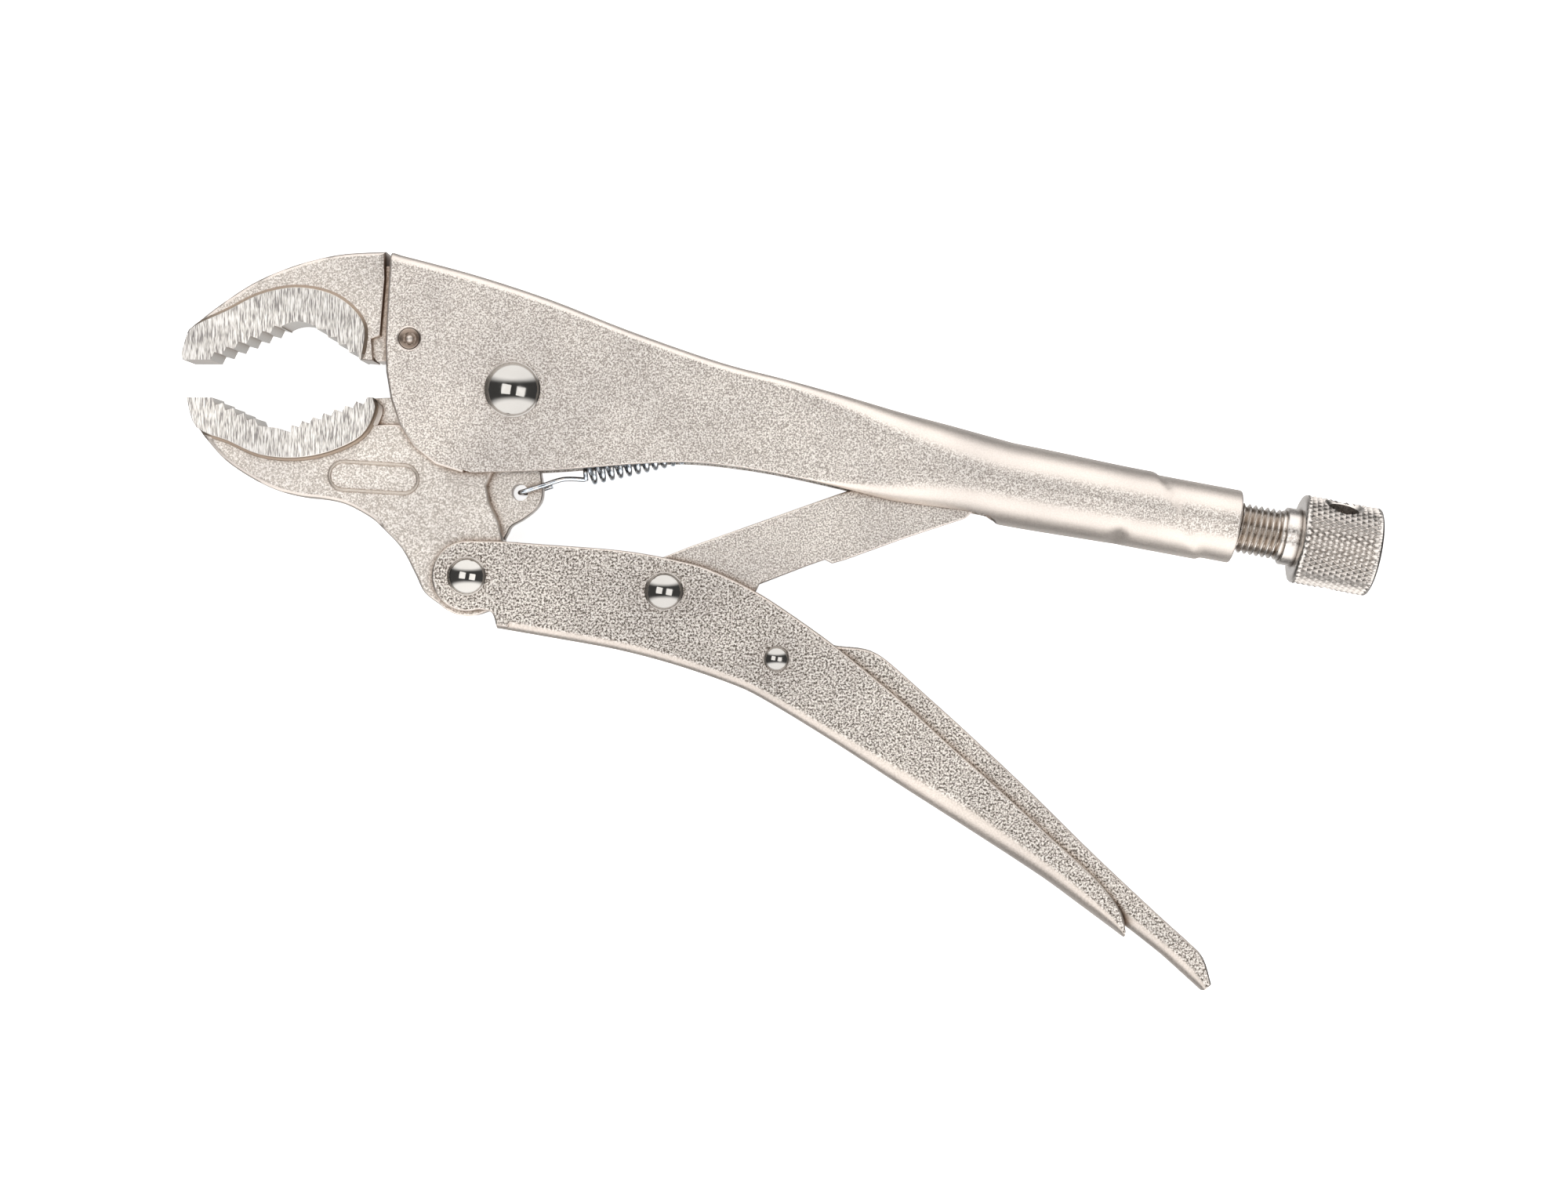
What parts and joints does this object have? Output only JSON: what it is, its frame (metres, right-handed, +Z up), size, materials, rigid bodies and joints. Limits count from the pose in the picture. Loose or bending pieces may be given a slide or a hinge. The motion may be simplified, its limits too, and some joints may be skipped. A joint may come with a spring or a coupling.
{
  "type": "locking pliers",
  "caption": "Curved-jaw locking pliers with a toggle linkage, return spring, release lever and a knurled adjusting screw in the handle's end.",
  "frame": {"origin": "centre of the bounding box's lowest face, with the pliers lying flat on one side", "axes": "+X from the jaws towards the adjusting knob, +Y from the lower handle towards the upper handle, +Z up through the thickness, along every hinge axis"},
  "size_m": [0.2462, 0.1518, 0.0194],
  "materials": {
    "nickel_sheet": "satin nickel plate over blasted sheet steel",
    "forged_steel": "satin nickel plate over forged steel, grips ground bright",
    "polished_rivet": "polished dome",
    "weld": "plated weld crater",
    "zinc_wire": "bright zinc-plated wire",
    "thread_steel": "rolled thread, oiled",
    "knurled_steel": "diamond knurl, plated"
  },
  "bodies": {
    "fixed": {"fixed_handle": "nickel_sheet", "fixed_jaw": "forged_steel", "jaw_weld_plugs": "weld", "jaw_pivot_rivet": "polished_rivet", "return_spring": "zinc_wire"},
    "jaw": {"moving_jaw": "forged_steel"},
    "handle": {"moving_handle": "nickel_sheet", "jaw_handle_rivet": "polished_rivet", "link_rivet": "polished_rivet", "lever_rivet": "polished_rivet"},
    "link": {"toggle_link": "nickel_sheet"},
    "lever": {"release_lever": "nickel_sheet"},
    "screw": {"adjusting_screw": "thread_steel"},
    "knob": {"knurled_knob": "knurled_steel"}
  },
  "joints": [
    {"name": "jaw_pivot", "type": "hinge", "parent": "fixed", "child": "jaw", "pos_m": [-0.05551, 0.04755, 0.0097], "axis": [0, 0, 1], "range_deg": [-5.3, 4.3], "deforming": ["return_spring"]},
    {"name": "handle_pivot", "type": "hinge", "parent": "jaw", "child": "handle", "pos_m": [-0.06491, 0.00945, 0.0097], "axis": [0, 0, 1], "range_deg": [-14, 17.5]},
    {"name": "link_pivot", "type": "hinge", "parent": "handle", "child": "link", "pos_m": [-0.02461, 0.00635, 0.0097], "axis": [0, 0, 1], "range_deg": [-20.4, 16.4]},
    {"name": "lever_pivot", "type": "hinge", "parent": "handle", "child": "lever", "pos_m": [-0.00161, -0.00745, 0.0097], "axis": [0, 0, 1], "range_deg": [0, 4]},
    {"name": "screw_travel", "type": "slide", "parent": "fixed", "child": "screw", "axis": [0.9829, -0.184, 0], "range_m": [0, 0.015]},
    {"name": "knob_turn", "type": "hinge", "parent": "screw", "child": "knob", "pos_m": [0.09299, 0.01965, 0.0097], "axis": [0.9829, -0.184, 0], "range_deg": [0, 4321]}
  ],
  "couplings": [
    {"joint": "jaw_pivot", "follows": "handle_pivot", "ratio": -0.3},
    {"joint": "link_pivot", "follows": "handle_pivot", "ratio": -1.16},
    {"joint": "knob_turn", "follows": "screw_travel", "rad_per_m": 5026.5}
  ]
}
